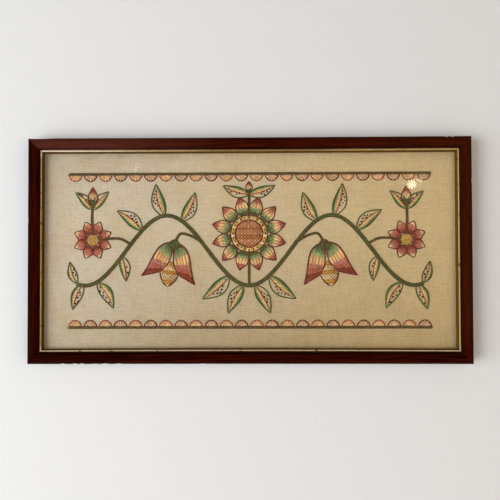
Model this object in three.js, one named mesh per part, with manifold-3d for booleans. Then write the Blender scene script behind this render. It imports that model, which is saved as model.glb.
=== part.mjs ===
// A framed embroidery that hangs on a wall: a mitred wooden moulding with a gilt slip, a pane of
// glass, a linen worked with raised flowers and leaves, a backing board and a recessed hanger.
// Millimetres, +Z up, +X to the right. The front faces -Y and the wall touches the plane y = 0.
// The origin is the point where the wall's nail carries the hanger.
import * as THREE from "three";
import { mergeVertices } from "three/addons/utils/BufferGeometryUtils.js";
import Module from "manifold-3d";

const wasm = await Module();
wasm.setup();

// Driving sizes
const FRAME_WIDTH = 576;
const FRAME_HEIGHT = 294;
const FRAME_DEPTH = 20;
const GAP = 0.3;
const DEG = Math.PI / 180;

// Wooden moulding, where u runs inwards from the outer edge and v runs forwards from the wall
const FACE_WIDTH = 14.7;
const REBATE_WALL = 9.5;
const SIGHT_EDGE_DEPTH = 16.2;
const ARRIS = { u: 2.5, v: 19.1, step: 0.4 };
const OUTER_SIDE_TOP = 15.6;
const SHOULDER = { u: 11.2, v: 18.7 };
const FALL_TO_SIGHT_EDGE = { u: 13.3, v: 18.1 };
const EASED_EDGE = { u: 0.3, v: 18 };

// What lies in the rebate, from the wall forwards
const POINT = { back: 2.3, thick: 0.6, width: 7, onBoard: 10, inWood: 5, corner: 1.5, taper: 2.5 };
const BOARD_BACK = POINT.back + POINT.thick + GAP;
const BOARD_THICK = 2.5;
const CLOTH_BACK = BOARD_BACK + BOARD_THICK + GAP;
const CLOTH_THICK = 1.1;
const CLOTH_FRONT = CLOTH_BACK + CLOTH_THICK;
const RELIEF = { stem: 0.5, motif: 0.6, centre: 0.8 };
const GLASS_BACK = CLOTH_FRONT + RELIEF.centre + GAP;
const GLASS_THICK = 2;
const SLIP_BACK = GLASS_BACK + GLASS_THICK + GAP;
const SLIP_FLANGE_THICK = 2.3;
const LIP_BACK = SLIP_BACK + SLIP_FLANGE_THICK + GAP;

// Gilt slip
const SLIP_OUTER = REBATE_WALL + 0.5;
const BEAD_OUTER = FACE_WIDTH + GAP;
const BEAD_WIDTH = 2.2;
const BEAD_TOP = 15.2;
const BEAD_SHOULDER = 13.9;
const FLANK_WIDTH = 1.5;

// Hanger, let into the back of the top rail so that the frame lies flat on the wall
const POCKET = { halfLength: 27, outer: 1.6, depth: 3 };
const HANGER = { halfLength: 25, top: 2, bottom: 9, thick: 0.6, lift: 1.6, rampStart: 15, rampEnd: 17 };
const TEETH = { count: 9, pitch: 3, depth: 1.5 };
const HANGER_NAIL = { x: 21, u: 5.5, headRadius: 1.6, headThick: 0.8, shankRadius: 0.6, length: 7 };
const HANGER_HOLE_RADIUS = 0.9;
const NAIL_REST_U = HANGER.bottom - TEETH.depth;

const POINTS_ALONG_TOP = [-200, -70, 70, 200];
const POINTS_ALONG_SIDE = [-70, 70];

// Embroidery, in the plane of the cloth from its centre: x to the right, z up. Each row of a table
// stands on the right half and is repeated on the left.
const VINE = { amplitude: 46, wavelength: 216, halfLength: 228, width: 5.2 };
const ROSETTE = { x: 0, z: 22, discRadius: 25, petals: 12, start: 22, end: 50, halfWidth: 8.8 };
const DAISY = { x: 206, z: 14, discRadius: 9, petals: 8, start: 7, end: 26, halfWidth: 7 };
const TULIP = { x: 98, z: 10, heading: -80, halfWidth: 36, height: 58 };
const CALYX = { radius: 6.5, ahead: 2 };
const TENDRIL_WIDTH = 3.5;
const TENDRILS = {
  tulip: [[62, 11], [76, 19], [90, 22], [98, 10]],
  daisy: [[155, 8], [168, 15], [181, 16], [199, 14]],
  daisyTop: [[206, 20], [207, 44], [206, 60]],
  rosetteFoot: [[0, -46], [0, 0]],
  rosetteTop: [[0, 44], [0, 78]],
};
const LEAVES = [
  { x: 8, z: -45.5, heading: -62, length: 42, bend: -2 },
  { x: 26, z: -34, heading: -40, length: 46, bend: 3 },
  { x: 88, z: 38, heading: 114, length: 42, bend: -3 },
  { x: 112, z: 45, heading: 76, length: 44, bend: 3 },
  { x: 141, z: 27, heading: 38, length: 42, bend: -3 },
  { x: 168, z: -7, heading: -100, length: 34, bend: 2 },
  { x: 200, z: -42, heading: -122, length: 40, bend: 3 },
  { x: 219, z: -44, heading: -68, length: 36, bend: -2 },
  { x: 227, z: -43, heading: 72, length: 30, bend: 2 },
  { x: 206, z: 54, heading: 132, length: 32, bend: 2 },
  { x: 206.5, z: 54, heading: 46, length: 32, bend: -2 },
  { x: 0.5, z: 73, heading: 20, length: 36, bend: 2 },
];
const LEAF_HALF_WIDTH_SHARE = 0.2;
const ALMOND_POWER = 0.8;
const BUDS = [
  { x: 0, z: 76, length: 15, halfWidth: 4.5 },
  { x: 206, z: 58, length: 26, halfWidth: 6.5 },
];
const BORDER = { z: 101, halfLength: 239, lineWidth: 4 };
const SCALLOP = { count: 24, halfWidth: 8.6, depth: 9.5 };

// Fineness of the curves
const LEAF_STEPS = 7;
const PETAL_STEPS = 5;
const VINE_STEPS = 54;
const TENDRIL_STEPS = 6;
const TULIP_STEPS = 5;
const SCALLOP_STEPS = 6;
const ROUND_SIDES = 24;
const SMALL_ROUND_SIDES = 12;
const NAIL_SIDES = 12;
const MOULDING_STEPS = 5;
const HOLE_STEPS = 6;

const finish = (colour, roughness, metalness = 0) =>
  new THREE.MeshStandardMaterial({ color: colour, roughness, metalness });
const MAHOGANY = finish(0x4a1a12, 0.38);
const GILT = finish(0xb99a5a, 0.42, 0.7);
const PANE = finish(0xdfe8e4, 0.05);
const LINEN = finish(0xbfae87, 0.95);
const HARDBOARD = finish(0x8a6a46, 0.85);
const STEEL = finish(0x8d8f92, 0.4, 0.8);

// Turns a closed geometry into a solid that can be cut and joined
function solidOf(geometry) {
  const bare = geometry.clone();
  bare.deleteAttribute("normal");
  bare.deleteAttribute("uv");
  const merged = mergeVertices(bare, 1e-4);
  const vertProperties = new Float32Array(merged.attributes.position.array);
  const triVerts = new Uint32Array(merged.index.array);
  return new wasm.Manifold(new wasm.Mesh({ numProp: 3, vertProperties, triVerts }));
}

function geometryOf(solid) {
  const { vertProperties, triVerts } = solid.getMesh();
  const geometry = new THREE.BufferGeometry();
  geometry.setAttribute("position", new THREE.BufferAttribute(new Float32Array(vertProperties), 3));
  geometry.setIndex(new THREE.BufferAttribute(new Uint32Array(triVerts), 1));
  geometry.computeVertexNormals();
  return geometry;
}

function piece(name, geometry, material) {
  const mesh = new THREE.Mesh(geometry, material);
  mesh.name = name;
  return mesh;
}

// A box given by its lowest and highest corner
function boxBetween([x0, y0, z0], [x1, y1, z1]) {
  const box = new THREE.BoxGeometry(x1 - x0, y1 - y0, z1 - z0);
  return box.translate((x0 + x1) / 2, (y0 + y1) / 2, (z0 + z1) / 2);
}

// The moulding's section: square back, rebate, crowned face that falls to the picture, eased outer edge
function railSection() {
  const crown = { u: (SHOULDER.u + ARRIS.u) / 2, v: FRAME_DEPTH * 2 - (SHOULDER.v + ARRIS.v) / 2 };
  const s = new THREE.Shape();
  s.moveTo(0, 0);
  s.lineTo(REBATE_WALL, 0);
  s.lineTo(REBATE_WALL, LIP_BACK);
  s.lineTo(FACE_WIDTH, LIP_BACK);
  s.lineTo(FACE_WIDTH, SIGHT_EDGE_DEPTH);
  s.quadraticCurveTo(FALL_TO_SIGHT_EDGE.u, FALL_TO_SIGHT_EDGE.v, SHOULDER.u, SHOULDER.v);
  s.quadraticCurveTo(crown.u, crown.v, ARRIS.u, ARRIS.v);
  s.lineTo(ARRIS.u, ARRIS.v - ARRIS.step);
  s.quadraticCurveTo(EASED_EDGE.u, EASED_EDGE.v, 0, OUTER_SIDE_TOP);
  s.closePath();
  return s;
}

// The slip's section: a flange held under the wooden lip, a rounded gilt bead beside it, and a flank
// that slopes from the bead to the glass
function slipSection() {
  const s = new THREE.Shape();
  const inner = BEAD_OUTER + BEAD_WIDTH;
  s.moveTo(SLIP_OUTER, SLIP_BACK);
  s.lineTo(inner + FLANK_WIDTH, SLIP_BACK);
  s.lineTo(inner, BEAD_SHOULDER);
  s.quadraticCurveTo(inner, BEAD_TOP, BEAD_OUTER + BEAD_WIDTH / 2, BEAD_TOP);
  s.quadraticCurveTo(BEAD_OUTER, BEAD_TOP, BEAD_OUTER, BEAD_SHOULDER);
  s.lineTo(BEAD_OUTER, SLIP_BACK + SLIP_FLANGE_THICK);
  s.lineTo(SLIP_OUTER, SLIP_BACK + SLIP_FLANGE_THICK);
  s.closePath();
  return s;
}

// A length of section with both ends mitred, lying along the top of a frame of that size
function mitredLength(section, length, edgeFromCentre) {
  const plain = { depth: 1, steps: 1, curveSegments: MOULDING_STEPS, bevelEnabled: false };
  const geometry = new THREE.ExtrudeGeometry(section, plain);
  const p = geometry.attributes.position;
  for (let i = 0; i < p.count; i++) {
    const [u, v, end] = [p.getX(i), p.getY(i), p.getZ(i) - 0.5];
    p.setXYZ(i, -2 * end * (length / 2 - u - GAP / 2), -v, edgeFromCentre - u);
  }
  return geometry;
}

// The slot in a rail for one framer's point, pushed in from the rebate
function pointSlot(x, edgeFromCentre) {
  const wall = edgeFromCentre - REBATE_WALL;
  const reach = POINT.width / 2 + GAP;
  const low = [x - reach, -(POINT.back + POINT.thick + GAP), wall - GAP];
  const high = [x + reach, -(POINT.back - GAP), wall + POINT.inWood + GAP];
  return solidOf(boxBetween(low, high));
}

// A flat steel tab with a pointed end in the wood and clipped corners over the board
function framersPoint(x, edgeFromCentre) {
  const side = POINT.width / 2;
  const outline = new THREE.Shape([
    new THREE.Vector2(-side, -POINT.onBoard + POINT.corner),
    new THREE.Vector2(-side + POINT.corner, -POINT.onBoard),
    new THREE.Vector2(side - POINT.corner, -POINT.onBoard),
    new THREE.Vector2(side, -POINT.onBoard + POINT.corner),
    new THREE.Vector2(side, POINT.inWood - POINT.taper),
    new THREE.Vector2(0, POINT.inWood),
    new THREE.Vector2(-side, POINT.inWood - POINT.taper),
  ]);
  const geometry = new THREE.ExtrudeGeometry(outline, { depth: POINT.thick, bevelEnabled: false });
  return geometry.rotateX(90 * DEG).translate(x, -POINT.back, edgeFromCentre - REBATE_WALL);
}

// The recess for the hanger, open towards the rebate, with a pilot hole for each of its nails
function hangerPocket(edgeFromCentre) {
  const pocket = solidOf(boxBetween(
    [-POCKET.halfLength, -POCKET.depth, edgeFromCentre - REBATE_WALL - GAP],
    [POCKET.halfLength, GAP, edgeFromCentre - POCKET.outer],
  ));
  const { x, u, length } = HANGER_NAIL;
  const hole = new THREE.CylinderGeometry(HANGER_HOLE_RADIUS, HANGER_HOLE_RADIUS, length, NAIL_SIDES);
  hole.translate(0, -POCKET.depth - length / 2 + GAP, edgeFromCentre - u);
  const holes = [-1, 1].map((side) => solidOf(hole.clone().translate(side * x, 0, 0)));
  return holes.reduce((cut, one) => cut.add(one), pocket);
}

// The strip's run seen from above: flat ends on the wood and a raised middle for the nail's head
function hangerRun(edgeFromCentre) {
  const back = POCKET.depth - GAP;
  const half = [[HANGER.rampStart, HANGER.lift], [HANGER.rampEnd, 0], [HANGER.halfLength, 0]];
  const run = [...half.map(([x, lift]) => [-x, lift]).reverse(), ...half];
  const strip = new THREE.Shape([
    ...run.map(([x, lift]) => new THREE.Vector2(x, lift - back)),
    ...run.map(([x, lift]) => new THREE.Vector2(x, lift - back + HANGER.thick)).reverse(),
  ]);
  const bent = new THREE.ExtrudeGeometry(strip, { depth: HANGER.bottom - HANGER.top, bevelEnabled: false });
  return bent.translate(0, 0, edgeFromCentre - HANGER.bottom);
}

// The strip's face: teeth along the lower edge and a hole near each end
function hangerFace(edgeFromCentre) {
  const top = edgeFromCentre - HANGER.top;
  const bottom = edgeFromCentre - HANGER.bottom;
  const face = new THREE.Shape();
  face.moveTo(-HANGER.halfLength, top);
  face.lineTo(-HANGER.halfLength, bottom);
  for (let i = 0; i < TEETH.count; i++) {
    const start = (i - TEETH.count / 2) * TEETH.pitch;
    face.lineTo(start, bottom);
    face.lineTo(start + TEETH.pitch / 2, bottom + TEETH.depth);
  }
  face.lineTo((TEETH.count / 2) * TEETH.pitch, bottom);
  face.lineTo(HANGER.halfLength, bottom);
  face.lineTo(HANGER.halfLength, top);
  face.closePath();
  for (const side of [-1, 1]) {
    const centre = [side * HANGER_NAIL.x, edgeFromCentre - HANGER_NAIL.u];
    face.holes.push(new THREE.Path().absarc(...centre, HANGER_HOLE_RADIUS, 0, Math.PI * 2));
  }
  const through = { depth: POCKET.depth * 2, curveSegments: HOLE_STEPS, bevelEnabled: false };
  return new THREE.ExtrudeGeometry(face, through).rotateX(90 * DEG).translate(0, POCKET.depth, 0);
}

function hangerPlate(edgeFromCentre) {
  return geometryOf(solidOf(hangerRun(edgeFromCentre)).intersect(solidOf(hangerFace(edgeFromCentre))));
}

// A small nail with a domed head, driven through the strip into the wood
function hangerNail(side, edgeFromCentre) {
  const { headRadius, headThick, shankRadius, length } = HANGER_NAIL;
  const tip = 2.5 * shankRadius;
  const profile = [
    [0, 0], [headRadius * 0.6, headThick * 0.12], [headRadius, headThick * 0.6], [headRadius, headThick],
    [shankRadius, headThick], [shankRadius, length - tip], [0, length],
  ].map(([r, y]) => new THREE.Vector2(r, -y));
  const nail = new THREE.LatheGeometry(profile.reverse(), NAIL_SIDES);
  const underHead = POCKET.depth - GAP - HANGER.thick - GAP;
  return nail.translate(side * HANGER_NAIL.x, headThick - underHead, edgeFromCentre - HANGER_NAIL.u);
}

// Outline of a pointed almond that runs from the origin along +y, bent to one side. The power under
// one sets its widest place nearer to the root than to the tip.
function almond(length, halfWidth, bend, steps) {
  const side = (sign) => Array.from({ length: steps + 1 }, (_, i) => {
    const t = i / steps;
    const x = sign * halfWidth * Math.sin(Math.PI * t ** ALMOND_POWER) + bend * Math.sin(Math.PI * t);
    return new THREE.Vector2(x, t * length);
  });
  return [...side(1), ...side(-1).slice(1, -1).reverse()];
}

// Outline of a band of even width along a route, square at its ends
function ribbon(route, width) {
  const left = [];
  const right = [];
  route.forEach((p, i) => {
    const before = route[Math.max(i - 1, 0)];
    const after = route[Math.min(i + 1, route.length - 1)];
    const across = new THREE.Vector2(before.y - after.y, after.x - before.x).setLength(width / 2);
    left.push(p.clone().add(across));
    right.push(p.clone().sub(across));
  });
  return [...left, ...right.reverse()];
}

function smoothRoute(points, steps) {
  return new THREE.SplineCurve(points.map(([x, z]) => new THREE.Vector2(x, z))).getSpacedPoints(steps);
}

// Moves an outline to a place with its +y turned to a heading, counted from +x
function placed(outline, x, z, heading) {
  const pivot = new THREE.Vector2();
  return outline.map((p) => p.clone().rotateAround(pivot, (heading - 90) * DEG).add(new THREE.Vector2(x, z)));
}

// An outline together with its mirror image on the left half
const inPair = (outline) => [outline, outline.map((p) => new THREE.Vector2(-p.x, p.y))];

// The main stem winds from side to side and has a trough at the middle
function vine() {
  return Array.from({ length: VINE_STEPS + 1 }, (_, i) => {
    const x = (i / VINE_STEPS - 0.5) * 2 * VINE.halfLength;
    return new THREE.Vector2(x, -VINE.amplitude * Math.cos((2 * Math.PI * x) / VINE.wavelength));
  });
}

// A tulip seen from the side, drawn in shares of its half width and height: two outer petals that
// flare at their tips, and a taller middle one between them
function tulipOutline() {
  const { halfWidth: w, height: h } = TULIP;
  const s = new THREE.Shape();
  s.moveTo(0, 0);
  s.bezierCurveTo(w * 0.78, 0, w * 0.62, h * 0.52, w, h * 0.86);
  s.quadraticCurveTo(w * 0.62, h * 0.8, w * 0.34, h * 0.7);
  s.quadraticCurveTo(w * 0.26, h * 0.92, 0, h);
  s.quadraticCurveTo(-w * 0.26, h * 0.92, -w * 0.34, h * 0.7);
  s.quadraticCurveTo(-w * 0.62, h * 0.8, -w, h * 0.86);
  s.bezierCurveTo(-w * 0.62, h * 0.52, -w * 0.78, 0, 0, 0);
  return s.getPoints(TULIP_STEPS).slice(0, -1);
}

function disc(x, z, radius, sides) {
  return new THREE.Path().absarc(x, z, radius, 0, Math.PI * 2).getPoints(sides).slice(0, -1);
}

// Petals stand round a flower's centre, each an almond from an inner to an outer radius
function petals({ x, z, petals: count, start, end, halfWidth }) {
  const one = almond(end - start, halfWidth, 0, PETAL_STEPS);
  const out = one.map((p) => new THREE.Vector2(p.x, p.y + start));
  return Array.from({ length: count }, (_, i) => placed(out, x, z, (360 / count) * (i + 0.5)));
}

// A row of half rounds that hang from a border line towards the middle of the cloth
function scallops(side) {
  const pitch = (2 * BORDER.halfLength) / SCALLOP.count;
  return Array.from({ length: SCALLOP.count }, (_, i) => {
    const x = (i - (SCALLOP.count - 1) / 2) * pitch;
    return Array.from({ length: SCALLOP_STEPS + 1 }, (_, k) => {
      const a = (k / SCALLOP_STEPS - 0.5) * Math.PI;
      const z = BORDER.z - SCALLOP.depth * Math.cos(a);
      return new THREE.Vector2(x + SCALLOP.halfWidth * Math.sin(a), side * z);
    });
  });
}

function borderLine(side) {
  const ends = [-1, 1].map((end) => new THREE.Vector2(end * BORDER.halfLength, side * BORDER.z));
  return ribbon(ends, BORDER.lineWidth);
}

// Every raised part of the embroidery, as outlines with the height at which they stand
function raisedOutlines() {
  const motif = (outlines, height) => outlines.map((outline) => ({ outline, height }));
  const tendril = (name, steps) => ribbon(smoothRoute(TENDRILS[name], steps), TENDRIL_WIDTH);
  const onTulip = (outline) => inPair(placed(outline, TULIP.x, TULIP.z, TULIP.heading));
  const leaves = LEAVES.flatMap(({ x, z, heading, length, bend }) => inPair(
    placed(almond(length, length * LEAF_HALF_WIDTH_SHARE, bend, LEAF_STEPS), x, z, heading),
  ));
  const buds = BUDS.flatMap(({ x, z, length, halfWidth }) => {
    const bud = placed(almond(length, halfWidth, 0, LEAF_STEPS), x, z, 90);
    return x ? inPair(bud) : [bud];
  });
  const daisyDisc = disc(DAISY.x, DAISY.z, DAISY.discRadius, SMALL_ROUND_SIDES);
  const rosetteDisc = disc(ROSETTE.x, ROSETTE.z, ROSETTE.discRadius, ROUND_SIDES);
  const calyx = disc(0, CALYX.ahead, CALYX.radius, SMALL_ROUND_SIDES);
  const sideStems = ["tulip", "daisy", "daisyTop"].map((name) => tendril(name, TENDRIL_STEPS));
  return [
    ...motif([ribbon(vine(), VINE.width), ...sideStems.flatMap(inPair)], RELIEF.stem),
    ...motif([tendril("rosetteFoot", 1), tendril("rosetteTop", 1)], RELIEF.stem),
    ...motif([borderLine(1), borderLine(-1), ...scallops(1), ...scallops(-1)], RELIEF.stem),
    ...motif([...leaves, ...buds, ...onTulip(tulipOutline())], RELIEF.motif),
    ...motif([...petals(ROSETTE), ...petals(DAISY).flatMap(inPair)], RELIEF.motif),
    ...motif([rosetteDisc, ...inPair(daisyDisc), ...onTulip(calyx)], RELIEF.centre),
  ];
}

// The linen: one flat sheet whose front is raised where it is worked
function cloth(width, height) {
  const low = [-width / 2, -CLOTH_FRONT, -height / 2];
  const high = [width / 2, -CLOTH_BACK, height / 2];
  const sheet = solidOf(boxBetween(low, high));
  const root = CLOTH_THICK / 2;
  const raised = raisedOutlines().map(({ outline, height: rise }) => {
    const upright = { depth: root + rise, bevelEnabled: false };
    const flat = new THREE.ExtrudeGeometry(new THREE.Shape(outline), upright);
    return solidOf(flat.rotateX(90 * DEG).translate(0, -CLOTH_FRONT + root, 0));
  });
  return geometryOf(raised.reduce((joined, one) => joined.add(one), sheet));
}

// The frame is built round its centre, then hung so that the nail's place is the origin
const picture = new THREE.Group();
picture.position.z = NAIL_REST_U - FRAME_HEIGHT / 2;

const SIDES = [
  { name: "top", turn: 0, length: FRAME_WIDTH, edge: FRAME_HEIGHT / 2, points: POINTS_ALONG_TOP },
  { name: "right", turn: 90, length: FRAME_HEIGHT, edge: FRAME_WIDTH / 2, points: POINTS_ALONG_SIDE },
  { name: "bottom", turn: 180, length: FRAME_WIDTH, edge: FRAME_HEIGHT / 2, points: POINTS_ALONG_TOP },
  { name: "left", turn: 270, length: FRAME_HEIGHT, edge: FRAME_WIDTH / 2, points: POINTS_ALONG_SIDE },
];

for (const { name, turn, length, edge, points } of SIDES) {
  const side = new THREE.Group();
  side.rotation.y = turn * DEG;
  const cuts = points.map((x) => pointSlot(x, edge));
  if (name === "top") cuts.push(hangerPocket(edge));
  const uncut = solidOf(mitredLength(railSection(), length, edge));
  const rail = cuts.reduce((left, cut) => left.subtract(cut), uncut);
  side.add(piece(`rail_${name}`, geometryOf(rail), MAHOGANY));
  side.add(piece(`slip_${name}`, mitredLength(slipSection(), length, edge), GILT));
  points.forEach((x, i) => side.add(piece(`point_${name}_${i + 1}`, framersPoint(x, edge), STEEL)));
  picture.add(side);
}

const inRebateWidth = FRAME_WIDTH - 2 * (REBATE_WALL + 0.6);
const inRebateHeight = FRAME_HEIGHT - 2 * (REBATE_WALL + 0.6);
const inRebate = (back, thick) => boxBetween(
  [-inRebateWidth / 2, -back - thick, -inRebateHeight / 2], [inRebateWidth / 2, -back, inRebateHeight / 2],
);
picture.add(piece("glass", inRebate(GLASS_BACK, GLASS_THICK), PANE));
picture.add(piece("cloth", cloth(inRebateWidth, inRebateHeight), LINEN));
picture.add(piece("backing_board", inRebate(BOARD_BACK, BOARD_THICK), HARDBOARD));
picture.add(piece("hanger_plate", hangerPlate(FRAME_HEIGHT / 2), STEEL));
picture.add(piece("hanger_nail_left", hangerNail(-1, FRAME_HEIGHT / 2), STEEL));
picture.add(piece("hanger_nail_right", hangerNail(1, FRAME_HEIGHT / 2), STEEL));

const framedEmbroidery = new THREE.Group();
framedEmbroidery.add(picture);

export default framedEmbroidery;
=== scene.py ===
# The looks of a framed embroidery that hangs on a wall: varnished mahogany moulding, a rubbed gilt
# slip, glass, and a linen worked in wool. Metres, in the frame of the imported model; sizes named in
# millimetres are multiplied by MM. The front faces -Y.
import math

import bmesh
import bpy
import numpy as np
from mathutils import Euler, Matrix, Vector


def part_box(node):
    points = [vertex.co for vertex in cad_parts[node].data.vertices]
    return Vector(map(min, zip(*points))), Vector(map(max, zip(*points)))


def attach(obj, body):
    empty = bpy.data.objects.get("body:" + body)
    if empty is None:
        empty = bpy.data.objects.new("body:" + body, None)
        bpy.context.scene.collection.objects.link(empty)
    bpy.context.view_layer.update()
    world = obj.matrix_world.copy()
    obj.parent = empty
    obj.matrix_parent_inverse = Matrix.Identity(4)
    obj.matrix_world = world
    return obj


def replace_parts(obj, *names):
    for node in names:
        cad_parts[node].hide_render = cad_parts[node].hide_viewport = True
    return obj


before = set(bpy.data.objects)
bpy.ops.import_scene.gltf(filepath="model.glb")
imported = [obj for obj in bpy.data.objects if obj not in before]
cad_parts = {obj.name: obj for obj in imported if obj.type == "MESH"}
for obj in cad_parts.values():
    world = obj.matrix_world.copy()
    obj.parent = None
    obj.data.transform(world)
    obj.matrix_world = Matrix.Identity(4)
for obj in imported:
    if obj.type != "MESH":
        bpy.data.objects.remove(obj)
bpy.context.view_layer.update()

MM = 0.001
TURN = 2 * math.pi
rng = np.random.default_rng(20)

# The model's own sizes, with the cloth's read from the frame
CLOTH_LOW, CLOTH_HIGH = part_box("cloth")
CLOTH_THICK = 1.1
CLOTH_BACK = -CLOTH_HIGH.y / MM
CLOTH_FRONT = CLOTH_BACK + CLOTH_THICK
CLOTH_WIDTH = (CLOTH_HIGH.x - CLOTH_LOW.x) / MM
CLOTH_HEIGHT = (CLOTH_HIGH.z - CLOTH_LOW.z) / MM
CENTRE_Z = (CLOTH_HIGH.z + CLOTH_LOW.z) / 2 / MM
FRAME_WIDTH = 576
FRAME_HEIGHT = 294

# Moulding and slip, as in the solids: u runs inwards from the outer edge, v forwards from the wall
FACE_WIDTH = 14.7
REBATE_WALL = 9.5
LIP_BACK = 13.1
SIGHT_EDGE = 16.2
SHOULDER = (11.2, 18.7)
FALL = (13.3, 18.1)
ARRIS = (2.5, 19.1)
ARRIS_STEP = 0.4
EASED = (0.3, 18.0)
EASED_BACK = 0.25
OUTER_SIDE_TOP = 15.6
CROWN_V = 40 - (SHOULDER[1] + ARRIS[1]) / 2
SLIP = {"outer": 10.0, "inner": 17.3, "back": 10.5, "flange": 12.8, "shoulder": 13.9, "top": 15.2}
# Where each slip's bead starts and its flank ends, which differ a little from side to side
SLIP_EDGES = {"top": (15.3, 19.3), "right": (15.35, 20.0), "bottom": (15.8, 18.8), "left": (15.3, 19.6)}
# Faces of the slip's section: the flank, and the groove between the bead and the moulding, which on the
# bottom slip takes the flank's dark colour as painted shade
FLANK_FACES = tuple(range(1, 8))
GROOVE_FACES = (18, 19)
POCKET = {"half_length": 27, "outer": 1.6, "depth": 3}
POINT_SLOT = {"half_width": 3.8, "low": 2.0, "high": 3.2, "in_wood": 5.3}
POINTS_ALONG_TOP = (-200, -70, 70, 200)
POINTS_ALONG_SIDE = (-70, 70)
MITRE_GAP = 0.15
# Where the rings lie between a length's last square section and its mitre, as shares of the way
MITRE_SHARES = (0.2, 0.4, 0.6, 0.8, 1.0)
# How far the long rails and their slips are drawn in at the middle
BOW = {"top": (0.3, 0.45), "bottom": (0.3, 0.9)}
# The rails' darker edges, which are painted shade on slopes that catch more light than the face: how far in
# from the outer edge, and from where to the sight edge
EDGE_SHADE = {"top": (2.2, 11.5), "right": (2.2, 8.5), "bottom": (2.2, 11.5), "left": (9.0, 15.0)}
# Where the outer edge is chipped or rubbed away: side, place along it, half width, depth
CHIPS = (
    ("top", 256.1, 1.5, 1.1), ("top", 263.6, 1.4, 1.1), ("top", -273, 14, 0.5),
    ("bottom", 242, 2, 0.6), ("bottom", 226, 2.6, 0.6), ("bottom", 217, 2.2, 0.65), ("bottom", 200, 3.8, 0.6),
    ("bottom", 187, 3.8, 0.55), ("bottom", 169.5, 3.4, 0.45), ("bottom", 60, 3, 0.3),
    ("left", 40, 3, 0.3), ("right", -90, 2.5, 0.35),
)

# The worked design, from the cloth's centre: x to the right, z up. Rows of the tables stand on the
# right half and are worked again on the left.
VINE = {"amplitude": 46, "wavelength": 216, "half_length": 228}
ROSETTE = {"x": 0, "z": 22, "disc": 25, "petals": 12, "start": 22, "end": 50, "half_width": 8.8}
DAISY = {"x": 206, "z": 14, "disc": 9, "petals": 8, "start": 7, "end": 26, "half_width": 7}
TULIP = {"x": 98, "z": 10, "heading": -80, "half_width": 36, "height": 58}
CALYX = {"radius": 6.5, "ahead": 2}
TENDRILS = {
    "tulip": ((62, 11), (76, 19), (90, 22), (98, 10)),
    "daisy": ((155, 8), (168, 15), (181, 16), (199, 14)),
    "daisy_top": ((206, 20), (207, 44), (206, 60)),
}
ROSETTE_STEMS = (((0, -46), (0, 0)), ((0, 44), (0, 78)))
# x, z, heading, length, bend
LEAVES = (
    (8, -45.5, -62, 42, -2),
    (26, -34, -40, 46, 3),
    (88, 38, 114, 42, -3),
    (112, 45, 76, 44, 3),
    (141, 27, 38, 42, -3),
    (168, -7, -100, 34, 2),
    (200, -42, -122, 40, 3),
    (219, -44, -68, 36, -2),
    (227, -43, 72, 30, 2),
    (206, 54, 132, 32, 2),
    (206.5, 54, 46, 32, -2),
    (0.5, 73, 20, 36, 2),
)
LEAF_HALF_WIDTH_SHARE = 0.2
ALMOND_POWER = 0.8
# x, z, length, half width
BUDS = ((0, 76, 15, 4.5), (206, 58, 26, 6.5))
BORDER = {"z": 101, "half_length": 239}
SCALLOP = {"count": 24, "half_width": 8.6, "depth": 9.5, "root": 2.2, "root_depth": 2.4}

# Wool
STITCH_SIDES = 6
KNOT_GRID = (9, 6)
STEM_LENGTH = 5.6
STEM_ROW = 1.75
OUTLINE_ROW = 1.6
SATIN_PITCH = 1.1
SATIN_HALF_WIDTH = 0.6
MOST_LIFT = 0.95
# The length over which a stitch rises from the linen
RISE = 0.45
WOOL = {
    "olive": (0.37, 0.30, 0.15),
    "moss": (0.32, 0.36, 0.18),
    "sage": (0.60, 0.63, 0.41),
    "cream": (0.90, 0.80, 0.58),
    "peach": (0.86, 0.56, 0.34),
    "ochre": (0.82, 0.61, 0.24),
    "brick": (0.62, 0.30, 0.19),
    "maroon": (0.44, 0.16, 0.10),
    "pink": (0.75, 0.47, 0.38),
    "dark": (0.14, 0.17, 0.10),
}
# Zones of long and short stitch: a wool, or the wools that stripe it, from where to where along a petal
STRIPES = ("cream", "cream", "peach", "peach")
ZONES = {
    "rosette": (("moss", 0.1, 0.26), (("moss", "sage"), 0.25, 0.36), ("sage", 0.35, 0.44),
                (STRIPES, 0.44, 0.68), (("pink", "brick"), 0.67, 0.82), (("brick", "maroon"), 0.81, 0.985)),
    "tulip": (("moss", 0.07, 0.22), (("moss", "sage"), 0.2, 0.3), ("sage", 0.29, 0.39), (STRIPES, 0.39, 0.6),
              ("pink", 0.6, 0.7), (("pink", "brick"), 0.69, 0.82), (("brick", "maroon"), 0.81, 0.985)),
    "daisy": ((("brick", "maroon"), 0.1, 0.38), (("brick", "pink"), 0.36, 0.58), ("pink", 0.56, 0.74),
              ("cream", 0.73, 0.985)),
    "bud": (("moss", 0.05, 0.36), (("cream", "peach"), 0.36, 0.64), ("brick", 0.64, 0.98)),
}

# The linen: each swell's span, direction in radians and height, and the weave's pitch
SWELLS = ((41, 0.3, 0.035), (67, 1.9, 0.03), (29, 3.7, 0.02), (90, 5.2, 0.035))
LINEN_CELLS = (240, 118)
WEAVE_PITCH = 0.95
BOARD_MESH_PITCH = 1.6

# The view and the room, in metres and degrees, with the lens in millimetres
CAMERA = {"place": (0.0094, -0.6653, -0.1505), "turn": 0.714, "tip": 0.997, "roll": 0.158, "lens": 36.1}
ROOM = {"reach": 4.0, "wall_y": 0.0015, "floor_z": -1.5, "ceiling_z": 2.6}
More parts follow.
